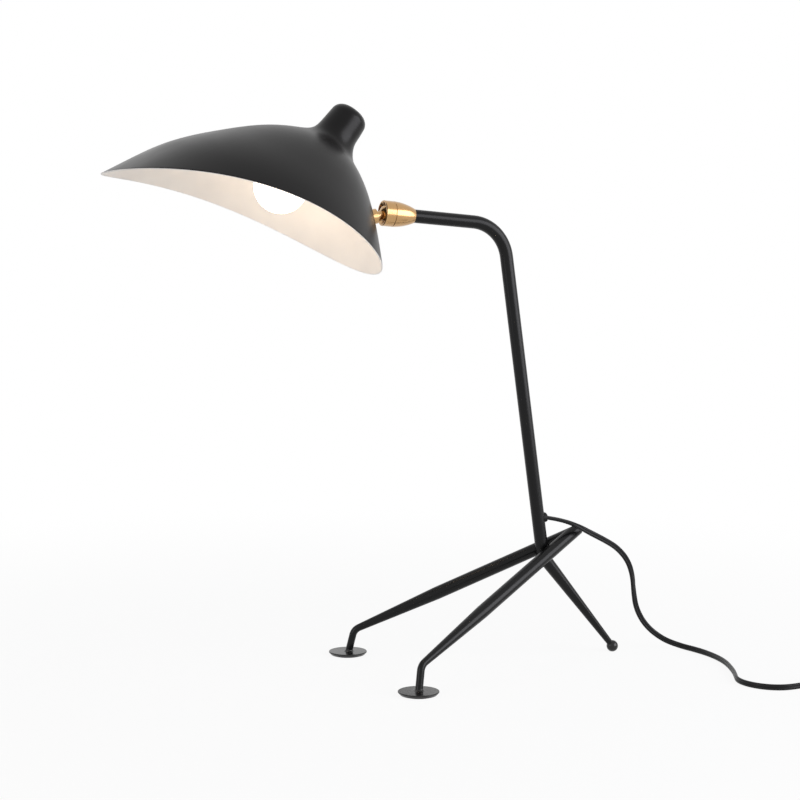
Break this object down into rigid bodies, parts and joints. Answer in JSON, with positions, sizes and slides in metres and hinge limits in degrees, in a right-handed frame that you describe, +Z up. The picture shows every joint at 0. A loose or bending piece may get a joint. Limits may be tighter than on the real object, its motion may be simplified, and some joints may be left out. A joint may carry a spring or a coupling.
{
  "type": "adjustable desk lamp",
  "caption": "Black desk lamp with a bent stem on splayed legs and a shell-shaped shade that tilts, rolls and turns on a brass ball swivel, with its cord, switch and plug.",
  "frame": {"origin": "middle of the lamp's own box, without its cord, on the surface that its feet stand on", "axes": "+Z up; the shade points to -X and the rear leg to +X; the XZ plane is the plane of symmetry, and the left leg is on -Y"},
  "size_m": [0.6894, 0.3812, 0.4892],
  "materials": {
    "black_enamel": "satin",
    "shade_enamel": "satin",
    "white_plate": "satin",
    "brass": "satin",
    "steel": "satin",
    "bulb_cap": "satin",
    "opal_glass": "gloss",
    "black_rubber": "matte",
    "black_flex": "satin",
    "tie_plastic": "satin",
    "switch_plastic": "satin",
    "plug_plastic": "satin",
    "holder_plastic": "gloss",
    "seat_plastic": "satin"
  },
  "bodies": {
    "stand": {"ball_foot": "black_rubber", "coil_tie": "tie_plastic", "cord_coil": "black_flex", "cord_grommet": "black_rubber", "cord_lead": "black_flex", "inner_flex": "black_flex", "left_foot_disc": "black_enamel", "left_foot_pad": "black_rubber", "left_leg": "black_enamel", "plug_body": "plug_plastic", "plug_pins": "steel", "plug_relief": "black_flex", "rear_leg": "black_enamel", "right_foot_disc": "black_enamel", "right_foot_pad": "black_rubber", "right_leg": "black_enamel", "seat_spring": "steel", "stem_tube": "black_enamel", "switch_base": "switch_plastic", "switch_contact": "brass", "switch_cover": "switch_plastic", "switch_screws": "steel", "swivel_collar": "brass", "swivel_cup": "brass"},
    "seat": {"ball_seat": "seat_plastic"},
    "stud": {"ball_stud": "brass", "stud_nut": "brass"},
    "shade": {"shade": "shade_enamel", "outer_washer": "brass", "inner_washer": "brass", "holder_plate": "white_plate", "holder_base": "holder_plastic", "holder_skirt": "holder_plastic", "holder_sleeve": "brass", "holder_contact": "brass", "bulb_cap": "bulb_cap", "bulb_glass": "opal_glass", "shade_lead": "black_flex"},
    "rocker": {"switch_rocker": "switch_plastic", "switch_pivot": "steel"}
  },
  "joints": [
    {"name": "swivel_roll", "type": "hinge", "parent": "stand", "child": "seat", "pos_m": [0.00868, 0, 0.39784], "axis": [-0.997, 0, 0.0776], "range_deg": [-90, 90]},
    {"name": "swivel_tilt", "type": "hinge", "parent": "seat", "child": "stud", "pos_m": [0.00868, 0, 0.39784], "axis": [0, 1, 0], "range_deg": [-16, 46]},
    {"name": "shade_turn", "type": "hinge", "parent": "stud", "child": "shade", "pos_m": [0.00868, 0, 0.39784], "axis": [-0.9848, 0, -0.1736], "range_deg": [-90, 90]},
    {"name": "switch_rock", "type": "hinge", "parent": "stand", "child": "rocker", "pos_m": [0.353, -0.188, 0.0105], "axis": [0, 1, 0], "range_deg": [0, 16]}
  ]
}
